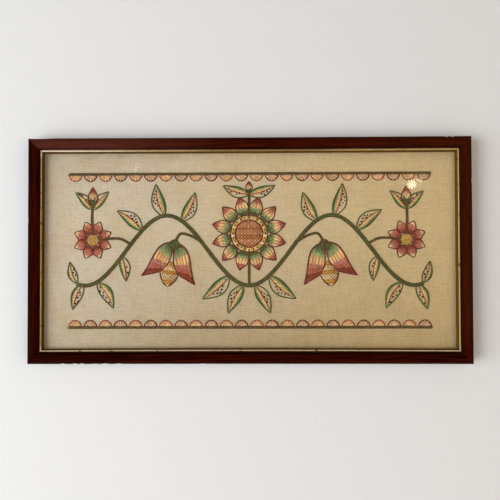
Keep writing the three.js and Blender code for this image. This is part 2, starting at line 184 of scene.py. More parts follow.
# Place, diameter, power and colour. The key and the fill stand for daylight and don't mirror in the glass.
LIGHTS = {
    "key": ((-2.3, -1.55, -0.62), 2.6, 132, (0.893, 0.943, 0.985)),
    "fill": ((1.9, -2.1, -0.2), 2.4, 29, (1.0, 0.82, 0.62)),
    "rear": ((-0.9, 1.6, 0.9), 1.2, 22, (1.0, 0.99, 0.97)),
    "lamp": ((0.8235, -1.975, 0.2363), 0.03, 0.056, (1.0, 0.82, 0.52)),
    "lamp_beside": ((0.868, -1.975, 0.26), 0.02, 0.008, (1.0, 0.84, 0.6)),
    "lamp_far": ((-0.623, -1.975, 0.325), 0.012, 0.0022, (1.0, 0.93, 0.8)),
}


def linear(colour):
    """A display colour as the renderer's linear one."""
    return tuple(c / 12.92 if c <= 0.04045 else ((c + 0.055) / 1.055) ** 2.4 for c in colour) + (1.0,)


# Camera

def make_camera():
    """The photograph's viewpoint: almost square on, turned and tipped by a degree at most."""
    data = bpy.data.cameras.new("camera")
    data.sensor_width = 36
    data.lens = CAMERA["lens"]
    camera = bpy.data.objects.new("camera", data)
    spin = lambda key, axis: Matrix.Rotation(math.radians(CAMERA[key]), 4, axis)
    level = Matrix.Rotation(math.radians(90), 4, "X")
    place = Matrix.Translation(CAMERA["place"])
    camera.matrix_world = place @ spin("turn", "Z") @ spin("tip", "X") @ spin("roll", "Y") @ level
    bpy.context.collection.objects.link(camera)
    bpy.context.scene.camera = camera


make_camera()


# Meshes

def object_from(name, verts, quads, tris=(), uvs=None, shade=None, wear=None):
    """An object from arrays: verts in metres, faces as rows of vertex numbers, uvs for each corner, and
    shade and wear for each vertex."""
    quads = np.asarray(quads, np.int32).reshape(-1, 4)
    tris = np.asarray(tris, np.int32).reshape(-1, 3)
    corners = np.concatenate([quads.ravel(), tris.ravel()])
    starts = np.concatenate([np.arange(len(quads)) * 4, len(quads) * 4 + np.arange(len(tris)) * 3])
    mesh = bpy.data.meshes.new(name)
    mesh.vertices.add(len(verts))
    mesh.vertices.foreach_set("co", np.asarray(verts, np.float32).ravel())
    mesh.loops.add(len(corners))
    mesh.loops.foreach_set("vertex_index", corners)
    mesh.polygons.add(len(starts))
    mesh.polygons.foreach_set("loop_start", starts.astype(np.int32))
    mesh.update(calc_edges=True)
    mesh.polygons.foreach_set("use_smooth", np.ones(len(starts), bool))
    if uvs is not None:
        mesh.uv_layers.new(name="thread").data.foreach_set("uv", np.asarray(uvs, np.float32).ravel())
    for key, values in (("shade", shade), ("wear", wear)):
        if values is not None:
            layer = mesh.attributes.new(key, "FLOAT", "POINT")
            layer.data.foreach_set("value", np.asarray(values, np.float32).ravel())
    piece = bpy.data.objects.new(name, mesh)
    bpy.context.collection.objects.link(piece)
    return piece


def grid_faces(rows, columns, joined=False):
    """Quads over rows of vertices that close on themselves, with each quad's row and column. Where joined,
    the last row meets the first."""
    spans = np.meshgrid(np.arange(rows if joined else rows - 1), np.arange(columns), indexing="ij")
    i, j = (span.ravel() for span in spans)
    i1, j1 = (i + 1) % rows, (j + 1) % columns
    return np.stack([i * columns + j, i1 * columns + j, i1 * columns + j1, i * columns + j1], -1), i, j


def cloth_wave(x, z):
    """How far the stretched linen swells towards the glass, in mm."""
    along = lambda angle: x * math.cos(angle) + z * math.sin(angle)
    return sum(height * np.sin(along(angle) * TURN / span + 7 * angle) for span, angle, height in SWELLS)


def on_cloth(points):
    """Points given as x, z and lift over the linen, in mm, moved to the frame in metres."""
    x, z, lift = points[..., 0], points[..., 1], points[..., 2]
    out = CLOTH_FRONT + np.minimum(lift, MOST_LIFT) + cloth_wave(x, z)
    return np.stack([x, -out, z + CENTRE_Z], -1) * MM


# Stitches

def jitter(shape, size=0.12, most=2):
    return rng.standard_normal(shape).clip(-most, most) * size


class Wool:
    """All the stitches of one colour, gathered as arrays and then made into one mesh."""

    def __init__(self, colour):
        self.colour = colour
        self.parts = []
        self.count = 0

    def keep(self, verts, quads, tris, uvs_quads, uvs_tris, shade):
        """Adds vertices, faces that count from the first of them, the faces' uvs and the vertices' shade."""
        rows = ((verts, 3), (quads + self.count, 4), (tris + self.count, 3), (uvs_quads, 2), (uvs_tris, 2))
        self.parts.append([np.reshape(values, (-1, width)) for values, width in rows] + [shade])
        self.count += verts.size // 3

    def sew(self, routes, half_width=0.5, lift=0.25, flat=0.62, dip=0.5):
        """Adds a stitch for each route of x, z points. Each comes up through the linen and goes down at
        its end."""
        routes = np.asarray(routes, float)
        n = len(routes)
        if n == 0:
            return
        near = []
        for end, inner in ((0, 1), (-1, -2)):
            way = routes[:, inner] - routes[:, end]
            share = np.clip(RISE / np.maximum(np.linalg.norm(way, axis=1), 1e-6), 0.05, 0.5)
            near.append((routes[:, end] + way * share[:, None])[:, None])
        plan = np.concatenate([routes[:, :1], near[0], routes[:, 1:-1], near[1], routes[:, -1:]], 1)
        middles = [1.0] * (plan.shape[1] - 4)
        rise = np.array([-dip / lift, 0.72, *middles, 0.72, -dip / lift])
        swell = np.array([0.55, 0.9, *middles, 0.9, 0.55])
        lifts = lift * rise * (1 + jitter((n, 1), 0.12, 1.5))
        widths = half_width * swell * (1 + jitter((n, 1), 0.07))
        self.tube(np.concatenate([plan, lifts[..., None]], -1), widths, widths * flat)

    def tube(self, points, half_width, half_height):
        """Adds closed tubes of an oval section along rows of x, z and lift."""
        n, k, _ = points.shape
        ahead = np.gradient(points, axis=1)
        ahead /= np.linalg.norm(ahead, axis=-1, keepdims=True)
        side = np.cross(ahead, [0.0, 0.0, 1.0])
        side /= np.maximum(np.linalg.norm(side, axis=-1, keepdims=True), 1e-9)
        over = np.cross(side, ahead)
        turn = TURN * np.arange(STITCH_SIDES) / STITCH_SIDES
        ring = (points[:, :, None]
                + side[:, :, None] * (half_width[..., None, None] * np.cos(turn)[:, None])
                + over[:, :, None] * (half_height[..., None, None] * np.sin(turn)[:, None]))
        out = ahead[:, [0, -1]] * np.array([-1.0, 1.0])[:, None] * half_height[:, [0, -1], None]
        verts = on_cloth(np.concatenate([ring.reshape(n, -1, 3), points[:, [0, -1]] + out], 1))
        per = k * STITCH_SIDES + 2
        base = (np.arange(n) * per)[:, None, None]
        faces, i, s = grid_faces(k, STITCH_SIDES)
        cap = np.arange(STITCH_SIDES)
        cap_next = (cap + 1) % STITCH_SIDES
        tip = np.full(STITCH_SIDES, per - 2)
        top = (k - 1) * STITCH_SIDES
        caps = np.concatenate([
            np.stack([cap_next, cap, tip], -1), np.stack([top + cap, top + cap_next, tip + 1], -1)])
        steps = np.linalg.norm(np.diff(points, axis=1), axis=-1)
        run = np.concatenate([np.zeros((n, 1)), np.cumsum(steps, 1)], 1)[:, i[:, None] + [0, 0, 1, 1]]
        round_it = np.broadcast_to((s[:, None] + [0, 1, 1, 0]) / STITCH_SIDES, run.shape)
        shade = np.repeat(rng.uniform(-1, 1, n), per)
        self.keep(verts, faces[:, [0, 3, 2, 1]] + base, caps + base, np.stack([run, round_it], -1),
                  np.zeros((n * caps.size, 2)), shade)

    def knot(self, centres, radius=0.62, thread=0.42, base=0.0):
        """Adds a French knot at each centre: a turn of wool drawn tight round its own hole."""
        centres = np.asarray(centres, float).reshape(-1, 2)
        n = len(centres)
        around, across = KNOT_GRID
        if n == 0:
            return
        size = 1 + jitter((n, 1, 1), 0.1, 1.5)
        lean = rng.uniform(0, TURN, (n, 1, 1))
        a = (TURN * np.arange(around) / around)[None, :, None] + lean
        b = (TURN * np.arange(across) / across)[None, None, :]
        out = (radius + thread * np.cos(b)) * size * (1 + 0.1 * np.cos(a - lean))
        lift = base + thread * size * (0.7 + 0.85 * np.sin(b)) + 0.07 * np.cos(2 * (a - lean))
        x, z = (centres[:, axis, None, None] + out * wave(a) for axis, wave in ((0, np.cos), (1, np.sin)))
        points = np.stack([x, z, np.broadcast_to(lift, out.shape)], -1)
        faces, i, j = grid_faces(around, across, joined=True)
        pitch = TURN * radius / around
        uvs = np.stack([(i[:, None] + [0, 1, 1, 0]) * pitch, (j[:, None] + [0, 0, 1, 1]) / across], -1)
        shade = np.repeat(rng.uniform(-1, 1, n), around * across)
        self.keep(on_cloth(points), faces + (np.arange(n) * around * across)[:, None, None],
                  np.zeros((0, 3), int), np.broadcast_to(uvs, (n, *uvs.shape)), np.zeros((0, 2)), shade)

    def make(self):
        columns = [np.concatenate(column) for column in zip(*self.parts)]
        verts, quads, tris, uvs_quads, uvs_tris, shade = columns
        uvs = np.concatenate([uvs_quads, uvs_tris])
        piece = object_from(f"stitches_{self.colour}", verts, quads, tris, uvs, shade)
        piece.data.materials.append(wool_material(self.colour))
        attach(piece, "root")
        return piece


wools = {colour: Wool(colour) for colour in WOOL}


def straight(starts, ends, middles=1):
    """Routes from starts to ends, with that many points between."""
    starts, ends = np.asarray(starts, float), np.asarray(ends, float)
    t = np.linspace(0, 1, middles + 2)[None, :, None]
    return starts[:, None] * (1 - t) + ends[:, None] * t


def satin(wool, routes, lift=0.25):
    """Flat stitches that lie side by side."""
    wools[wool].sew(routes, half_width=SATIN_HALF_WIDTH, lift=lift, flat=0.5)


def banded(pair, routes, each, lift):
    """Satin stitches in bands of each, which take turns in two wools."""
    for i, wool in enumerate(pair):
        satin(wool, routes[(np.arange(len(routes)) // each) % 2 == i], lift)


def spaced(path, step):
    """Points about step apart along a path, and the path's unit normals there."""
    path = np.asarray(path, float)
    run = np.concatenate([[0], np.cumsum(np.linalg.norm(np.diff(path, axis=0), axis=1))])
    count = max(2, int(round(run[-1] / step)) + 1)
    at = np.linspace(0, run[-1], count)
    points = np.stack([np.interp(at, run, path[:, 0]), np.interp(at, run, path[:, 1])], -1)
    ahead = np.gradient(points, axis=0)
    ahead /= np.maximum(np.linalg.norm(ahead, axis=1, keepdims=True), 1e-9)
    return points, np.stack([-ahead[:, 1], ahead[:, 0]], -1)


def stem_stitch(wool, path, rows=1, row=OUTLINE_ROW, lift=0.36, inner=None):
    """Rows of slanting stitches along a path, each starting halfway back along the one before. The rows
    that aren't at the edges may have a wool of their own."""
    fine = 4
    points, normals = spaced(path, STEM_LENGTH / (2 * fine))
    starts = np.arange(-fine, len(points) - fine, fine)
    across = np.linspace(-0.32, 0.32, 3) * row
    for r in range(rows):
        offset = (r - (rows - 1) / 2) * row
        steps = np.clip(starts[:, None] + np.array([0, fine, 2 * fine])[None], 0, len(points) - 1)
        steps = steps[steps[:, 2] - steps[:, 0] > fine]
        routes = points[steps] + normals[steps] * (offset + across[None, :, None])
        chosen = inner if inner and 0 < r < rows - 1 else wool
        wools[chosen].sew(routes + jitter(routes.shape, 0.06), half_width=row * 0.42, lift=lift, flat=0.7)


def curve(points, count=24):
    """A smooth path through a few points."""
    p = np.asarray(points, float)
    p = np.concatenate([[2 * p[0] - p[1]], p, [2 * p[-1] - p[-2]]])
    out = []
    for a, b, c, d in zip(p, p[1:], p[2:], p[3:]):
        t = np.linspace(0, 1, count, endpoint=False)[:, None]
        square, cube = 2 * a - 5 * b + 4 * c - d, 3 * b - a - 3 * c + d
        out.append(0.5 * (2 * b + (c - a) * t + square * t**2 + cube * t**3))
    return np.concatenate([*out, p[-2:-1]])


def shaded(field, zones, ragged=2.6):
    """Long and short stitches over a shape given as field(along, across), in zones from root to tip. A
    zone has one wool or a repeat of them that stripes it."""
    span = lambda a, b: float(np.linalg.norm(field(*a) - field(*b)))
    for zone, start, end in zones:
        zone = (zone,) if isinstance(zone, str) else zone
        middle = np.array([(start + end) / 2])
        width = span((middle, np.array([1.0])), (middle, np.array([-1.0])))
        length = span((np.array([end]), np.zeros(1)), (np.array([start]), np.zeros(1)))
        count = max(3, int(round(width / SATIN_PITCH)))
        across = ((2 * np.arange(count) + 1) / count - 1) * 0.95
        overlap = ragged / max(length, 1e-6) * (end - start)
        a = start + (rng.uniform(-1, 0.3, count) * overlap if start > 0 else np.zeros(count))
        b = end + (rng.uniform(-0.3, 1, count) * overlap if end < 0.97 else -np.abs(jitter(count, 0.01)))
        t = np.linspace(0, 1, 3)[None]
        along = a[:, None] * (1 - t) + b[:, None] * t
        routes = field(along, np.broadcast_to(across[:, None], along.shape))
        routes = routes + jitter(routes.shape, 0.05)
        for i, wool in enumerate(zone):
            satin(wool, routes[i::len(zone)])


def inside(polygon, points):
    """Which points lie within a polygon."""
    x, z = points[..., 0], points[..., 1]
    within = np.zeros(x.shape, bool)
    for (x0, z0), (x1, z1) in zip(polygon, np.roll(polygon, -1, 0)):
        crosses = (z0 > z) != (z1 > z)
        with np.errstate(divide="ignore", invalid="ignore"):
            within ^= crosses & (x < (x1 - x0) * (z - z0) / (z1 - z0) + x0)
    return within


def laid_over(polygon, angle):
    """A polygon's centre, its reach from there, and the unit vectors along an angle and across it."""
    centre = polygon.mean(0)
    way = np.array([math.cos(angle), math.sin(angle)])
    return centre, np.linalg.norm(polygon - centre, axis=1).max(), way, np.array([-way[1], way[0]])


def lines_across(polygon, angle, pitch, inset=0.4):
    """Parallel lines over a polygon, as their start and end points inside it."""
    centre, reach, way, side = laid_over(polygon, angle)
    run = np.arange(-reach, reach, 0.25)
    starts, ends = [], []
    for off in np.arange(-reach + pitch / 2, reach, pitch):
        line = centre + side * off + run[:, None] * way
        hit = np.flatnonzero(inside(polygon, line))
        if len(hit) > 6:
            starts.append(line[hit[0]] + way * inset)
            ends.append(line[hit[-1]] - way * inset)
    return np.array(starts), np.array(ends)


def trellis(wool, tie_wool, polygon, pitch, knot_wool, angle=math.pi / 4, lift=0.62):
    """A couched grid: threads laid both ways and tied down where they cross, with knots in the openings."""
    for turn in (angle, angle + math.pi / 2):
        starts, ends = lines_across(polygon, turn, pitch)
        if len(starts):
            wools[wool].sew(straight(starts, ends, 3), half_width=0.36, lift=lift, flat=0.6, dip=0.3)
    centre, reach, ahead, side = laid_over(polygon, angle)
    first = (reach % pitch - pitch / 2) * (ahead - side)
    steps = np.arange(-12, 13) * pitch
    grid = np.stack(np.meshgrid(steps, steps), -1).reshape(-1, 2)
    crossings = centre + first + grid[:, :1] * ahead + grid[:, 1:] * side
    ties = crossings[inside(polygon, crossings)]
    arm = np.array([0.55, 0.0])
    over = straight(ties - arm, ties + arm)
    wools[tie_wool].sew(over, half_width=0.24, lift=lift + 0.18, flat=0.7, dip=0.2)
    openings = crossings + pitch / 2 * (ahead + side)
    wools[knot_wool].knot(openings[inside(polygon, openings)], 0.5, 0.36, base=0.3)


def scattered(polygon, spacing):
    """Points spread over a polygon in staggered rows, each a little out of place."""
    low, high = polygon.min(0), polygon.max(0)
    rows = enumerate(np.arange(low[1], high[1], spacing * 0.87))
    columns = np.arange(low[0], high[0], spacing)
    points = np.array([(x + (i % 2) * spacing / 2, z) for i, z in rows for x in columns]).reshape(-1, 2)
    points = points + jitter(points.shape, spacing * 0.06)
    centre = polygon.mean(0)
    return points[inside(centre + (polygon - centre) * 0.72, points)]


def placing(x, z, heading, side=1):
    """A function that moves a motif's own points, with +z ahead, to its place on the cloth."""
    turn = math.radians(heading - 90)
    way = np.array([[math.cos(turn), math.sin(turn)], [-math.sin(turn), math.cos(turn)]])
    return lambda points: (np.asarray(points, float) @ way + [x, z]) * [side, 1]


def almond_field(length, half_width, bend=0.0, start=0.0):
    """A leaf or petal as a function of the share along it and the share across it, from -1 to 1."""
    def field(along, across):
        t = np.clip(along, 0, 1)
        x = across * half_width * np.sin(math.pi * t**ALMOND_POWER) + bend * np.sin(math.pi * t)
        return np.stack([x, start + t * length], -1)
    return field


def edge_of(field, across, count=24, start=0.0, end=1.0):
    along = np.linspace(start, end, count)
    return field(along, np.full(count, float(across)))


def circle(x, z, radius, count=72):
    a = np.linspace(0, TURN, count, endpoint=False)
    return np.stack([x + radius * np.cos(a), z + radius * np.sin(a)], -1)


def closed(path):
    return np.concatenate([path, path[:1]])


def ring_of(x, z, inner, outer, pitch):
    """Stitches that radiate between two circles."""
    count = int(TURN * outer / pitch)
    a = TURN * np.arange(count) / count
    way = np.stack([np.cos(a), np.sin(a)], -1)
    return straight([x, z] + way * inner, [x, z] + way * outer)


def bezier(a, b, c, d):
    def at(t):
        t = np.asarray(t)[..., None]
        return (1 - t)**3 * a + 3 * (1 - t)**2 * t * b + 3 * (1 - t) * t**2 * c + t**3 * d
    return at


# The motifs

def work_leaf(x, z, heading, length, bend, side, turned_over):
    """A leaf with a brick rib: one half striped in slanting satin stitch, the other sown with knots."""
    field = almond_field(length, length * LEAF_HALF_WIDTH_SHARE, bend)
    place = placing(x, z, heading, side)
    full, sown = (1, -1) if turned_over else (-1, 1)
    count = int(length / SATIN_PITCH)
    along = np.linspace(0.05, 0.84, count)
    striped = lambda i: STRIPES[i % 4] if 0.12 < along[i] < 0.8 else "sage"
    rows = ((0.06, 0.5, 0.09, striped), (0.42, 0.74, 0.06, lambda i: "sage"),
            (0.64, 0.94, 0.05, lambda i: "moss"))
    for inner, outer, slant, colour in rows:
        roots = field(along + 0.12 * inner, np.full(count, inner * full))
        rims = field(np.minimum(along + 0.12 * inner + slant, 0.985), np.full(count, outer * full))
        routes = place(straight(roots, rims))
        for i in range(count):
            satin(colour(i), routes[i:i + 1] + jitter((1, 3, 2), 0.05))
    half = np.concatenate([edge_of(field, 0.0), edge_of(field, 0.92 * sown)[::-1]])
    wools["dark"].knot(place(scattered(half, 4.4)), 0.66, 0.56)
    for across in (-1, 1):
        stem_stitch("moss", place(edge_of(field, across * 0.96)))
    stem_stitch("brick", place(edge_of(field, 0.0, end=0.9)), row=1.3, lift=0.42)


def work_petals(flower, side, zones):
    """Petals in long and short stitch round a flower's centre, each outlined in stem stitch."""
    field = almond_field(flower["end"] - flower["start"], flower["half_width"], start=flower["start"])
    for i in range(flower["petals"]):
        place = placing(flower["x"], flower["z"], 360 / flower["petals"] * (i + 0.5), side)
        shaded(lambda along, across: place(field(along, across * 0.92)), zones)
        for across in (-1, 1):
            stem_stitch("maroon", place(edge_of(field, across * 0.98, start=0.12)), row=1.45, lift=0.42)


def work_rosette():
    """Twelve petals round a brick ground under an ochre trellis, inside a knotted ring of satin."""
    work_petals(ROSETTE, 1, ZONES["rosette"])
    x, z, radius = ROSETTE["x"], ROSETTE["z"], ROSETTE["disc"]
    ground = circle(x, z, radius - 7)
    starts, ends = lines_across(ground, 0.0, SATIN_PITCH, inset=0)
    banded(("brick", "pink"), straight(starts, ends, 3), 5, 0.22)
    trellis("ochre", "dark", ground, 6.2, "cream")
    banded(("ochre", "cream"), ring_of(x, z, radius - 6.4, radius - 1.2, 1.15), 5, 0.28)
    stem_stitch("maroon", closed(circle(x, z, radius - 6.9)), lift=0.5)
    stem_stitch("maroon", closed(circle(x, z, radius - 0.5)), lift=0.45)
    wools["dark"].knot(circle(x, z, radius - 3.8, 24), 0.62, 0.5, base=0.2)


def tulip_fields():
    """The tulip's outer petal, on the right, and its middle petal, as functions of along and across, and
    the seam between them."""
    w, h = TULIP["half_width"], TULIP["height"]
    corners = lambda *rows: (np.array([x * w, z * h]) for x, z in rows)
    rim = bezier(*corners((0, 0), (0.78, 0), (0.62, 0.52), (1, 0.86)))
    seam = bezier(*corners((0.015, 0), (0.015, 0.4), (0.1, 0.54), (0.34, 0.7)))
    cheek = bezier(*corners((0.34, 0.7), (0.285, 0.85), (0.17, 0.95), (0, 1)))
    parting = 0.45

    def outer(along, across):
        share = (np.asarray(across)[..., None] + 1) / 2
        return seam(along) * (1 - share) + rim(along) * share

    def middle(along, across):
        along, across = np.asarray(along), np.asarray(across, float)
        low = seam(parting + (1 - parting) * np.clip(along * 2, 0, 1))
        right = np.where(along[..., None] < 0.5, low, cheek(np.clip(along * 2 - 1, 0, 1)))
        return right * np.stack([across, np.ones_like(across)], -1)
    return outer, middle, seam


def work_tulip(side):
    """Two shaded outer petals, and between them a middle one in satin under a couched trellis."""
    outer, middle, seam = tulip_fields()
    place = placing(TULIP["x"], TULIP["z"], TULIP["heading"], side)
    along = np.linspace(0, 1, 30)
    levels = np.arange(0.06, 0.98, SATIN_PITCH / 1.15 / 36)
    left, right = (middle(levels, np.full(levels.shape, edge)) for edge in (-0.92, 0.92))
    banded(("ochre", "cream"), place(straight(left, right)), 6, 0.22)
    petal = np.concatenate([middle(along, np.full(30, 0.9)), middle(along[::-1], np.full(30, -0.9))])
    trellis("brick", "maroon", place(petal), 5.6, "dark")
    for cheek in (-1, 1):
        flip = np.array([cheek, 1])
        shaded(lambda a, b: place(outer(a, b * 0.94) * flip), ZONES["tulip"])
        stem_stitch("maroon", place(outer(along, np.full(30, 1.0)) * flip), lift=0.42)
        stem_stitch("maroon", place(outer(np.ones(12), np.linspace(-1, 1, 12)) * flip), lift=0.42)
        stem_stitch("maroon", place(seam(along) * flip), row=1.3, lift=0.42)
        stem_stitch("maroon", place(middle(np.linspace(0.5, 1, 16), np.full(16, 1.0)) * flip), lift=0.45)
    calyx = circle(0, CALYX["ahead"], CALYX["radius"] - 0.5, 40)
    starts, ends = lines_across(calyx, math.radians(60), SATIN_PITCH, inset=0)
    satin("moss", place(straight(starts, ends)), 0.5)
    stem_stitch("olive", place(closed(circle(0, CALYX["ahead"], CALYX["radius"] - 0.4))), row=1.4, lift=0.55)


def work_daisy(side):
    """Small shaded petals round a centre that is packed with knots."""
    work_petals(DAISY, side, ZONES["daisy"])
    place = placing(DAISY["x"], DAISY["z"], 90, side)
    wools["ochre"].knot(place(scattered(circle(0, 0, DAISY["disc"] + 1.4), 2.3)), 0.62, 0.46, base=0.1)
    wools["dark"].knot(place(circle(0, 0, DAISY["disc"] - 0.8, 15)), 0.62, 0.5, base=0.1)


def work_bud(x, z, length, half_width, side):
    field = almond_field(length, half_width)
    place = placing(x, z, 90, side)
    shaded(lambda along, across: place(field(along, across * 0.93)), ZONES["bud"])
    for across in (-1, 1):
        stem_stitch("maroon", place(edge_of(field, across * 0.97)), row=1.4, lift=0.42)


def work_border(end):
    """Two rows of stem stitch with buttonhole scallops that hang towards the middle."""
    z, half = BORDER["z"] * end, BORDER["half_length"]
    stem_stitch("olive", np.array([(-half, z), (half, z)]), rows=2, row=STEM_ROW)
    count = SCALLOP["count"]
    a = np.linspace(-0.5, 0.5, 13) * math.pi
    for i in range(count):
        x = (i - (count - 1) / 2) * 2 * half / count
        rim = np.stack([x + SCALLOP["half_width"] * np.sin(a), z - end * SCALLOP["depth"] * np.cos(a)], -1)
        root_depth = SCALLOP["root_depth"] + 0.4 * np.cos(a)
        root = np.stack([x + SCALLOP["root"] * np.sin(a), z - end * root_depth], -1)
        fans, edge = ((("peach", "cream"), "brick"), (("pink", "cream"), "maroon"))[i % 2]
        stitches = straight(root[1:-1], rim[1:-1])
        for j, fan in enumerate(fans):
            wools[fan].sew(stitches[j::2], half_width=0.62, flat=0.5)
        stem_stitch(edge, rim, row=1.45)


def work_all():
    x = np.linspace(-VINE["half_length"], VINE["half_length"], 400)
    z = -VINE["amplitude"] * np.cos(TURN * x / VINE["wavelength"])
    stem_stitch("olive", np.stack([x, z], -1), rows=3, row=STEM_ROW, inner="moss")
    for ends in ROSETTE_STEMS:
        stem_stitch("olive", np.array(ends), rows=2, row=STEM_ROW)
    for side in (-1, 1):
        for tendril in TENDRILS.values():
            stem_stitch("olive", curve(tendril) * np.array([side, 1]), rows=2, row=STEM_ROW)
        for i, row in enumerate(LEAVES):
            work_leaf(*row, side, i % 2 == 0)
        work_tulip(side)
        work_daisy(side)
        work_bud(*BUDS[1], side)
        work_border(side)
    work_bud(*BUDS[0], 1)
    work_rosette()


# Materials

class Nodes:
    """A node tree, filled by short calls. A socket given as an input is linked, a value is set."""

    def __init__(self, owner):
        owner.use_nodes = True
        self.tree = owner.node_tree
        self.tree.nodes.clear()

    def add(self, kind, inputs=None, **settings):
        node = self.tree.nodes.new(kind)
        for key, value in settings.items():
            setattr(node, key, value)
        for key, value in (inputs or {}).items():
            if isinstance(value, bpy.types.NodeSocket):
                self.tree.links.new(value, node.inputs[key])
            else:
                node.inputs[key].default_value = value
        return node

    def split(self, vector):
        return self.add("ShaderNodeSeparateXYZ", {0: vector}).outputs

    def remap(self, value, low, high, to_low=0.0, to_high=1.0, smooth=False):
        inputs = {"Value": value, "From Min": low, "From Max": high, "To Min": to_low, "To Max": to_high}
        kind = "SMOOTHSTEP" if smooth else "LINEAR"
        return self.add("ShaderNodeMapRange", inputs, interpolation_type=kind).outputs["Result"]


class Shader(Nodes):
    """A material's nodes."""

    def __init__(self, name):
        self.material = bpy.data.materials.new(name)
        super().__init__(self.material)

    def place(self, scale=(1, 1, 1)):
        """The point's place in mm, times scale."""
        here = self.add("ShaderNodeTexCoord").outputs["Object"]
        factor = [s / MM for s in scale]
        return self.add("ShaderNodeVectorMath", {0: here, 1: factor}, operation="MULTIPLY").outputs[0]

    def uv(self):
        return self.add("ShaderNodeUVMap", uv_map="thread").outputs[0]

    def attribute(self, name):
        return self.add("ShaderNodeAttribute", attribute_name=name).outputs["Fac"]

    def noise(self, scale, detail, roughness=0.5, stretch=(1, 1, 1), distortion=0.0):
        inputs = {"Vector": self.place(stretch), "Scale": scale, "Detail": detail, "Roughness": roughness,
                  "Distortion": distortion}
        return self.add("ShaderNodeTexNoise", inputs).outputs["Fac"]

    def math(self, operation, a, b=0.0):
        return self.add("ShaderNodeMath", {0: a, 1: b}, operation=operation).outputs[0]

    def times(self, a, b):
        return self.math("MULTIPLY", a, b)

    def plus(self, a, b):
        return self.math("ADD", a, b)

    def sine(self, value, factor):
        return self.math("SINE", self.times(value, factor))

    def mix(self, factor, a, b, mode="MIX"):
        inputs = {0: factor, 6: a, 7: b}
        return self.add("ShaderNodeMix", inputs, data_type="RGBA", blend_type=mode).outputs[2]

    def over(self, colour, factor, display_colour):
        """A colour with another laid over it by factor."""
        return self.mix(factor, colour, linear(display_colour))

    def tint(self, colour, factor, tone):
        """A colour multiplied by a tone, as far as factor says."""
        return self.mix(factor, colour, (*tone, 1), "MULTIPLY")

    def blend(self, value, low, high, first, second):
        """Two display colours, mixed as value goes from low to high."""
        return self.mix(self.remap(value, low, high), linear(first), linear(second))

    def brighten(self, colour, factor):
        """A colour times a number that varies over the surface."""
        return self.add("ShaderNodeVectorMath", {0: colour, "Scale": factor}, operation="SCALE").outputs[0]

    def bump(self, height, distance):
        return self.add("ShaderNodeBump", {"Height": height, "Distance": distance * MM}).outputs[0]

    def principled(self, **inputs):
        named = {key.replace("_", " "): value for key, value in inputs.items()}
        return self.add("ShaderNodeBsdfPrincipled", named).outputs[0]

    def seen_through(self, factor, first, second):
        """Two surfaces mixed by factor."""
        return self.add("ShaderNodeMixShader", {0: factor, 1: first, 2: second}).outputs[0]

    def finish(self, shader):
        self.add("ShaderNodeOutputMaterial", {"Surface": shader})
        return self.material

    def surface(self, **inputs):
        """The material, finished with a Principled surface of those inputs."""
        return self.finish(self.principled(**inputs))


def wool_material(colour):
    """Two-ply crewel wool: plies that wind round the thread, painted shade in the grooves between them, a
    soft nap and stitch by stitch dye.
    """
    s = Shader(f"wool_{colour}")
    u, v, _ = s.split(s.uv())
    plies = s.sine(s.plus(s.times(u, 0.75), s.times(v, 2.0)), TURN)
    hairs = s.noise(2.6, 4, 0.7)
    dye = s.remap(s.attribute("shade"), -1, 1, 0.76, 1.22)
    patch = s.remap(s.noise(0.05, 2), 0.3, 0.7, 0.88, 1.1)
    nap = s.remap(hairs, 0.25, 0.75, 0.8, 1.2)
    # Painted shade: the colour darkens in the grooves between the plies
    groove = s.remap(plies, -1, 1, 0.8, 1.06)
    tone = s.times(s.times(dye, patch), s.times(nap, groove))
    height = s.plus(s.times(plies, 0.5), s.times(hairs, 0.7))
    return s.surface(
        Base_Color=s.brighten(linear(WOOL[colour])[:3], tone), Roughness=0.88, Specular_IOR_Level=0.25,
        Sheen_Weight=0.25, Sheen_Roughness=0.45, Normal=s.bump(height, 0.16))


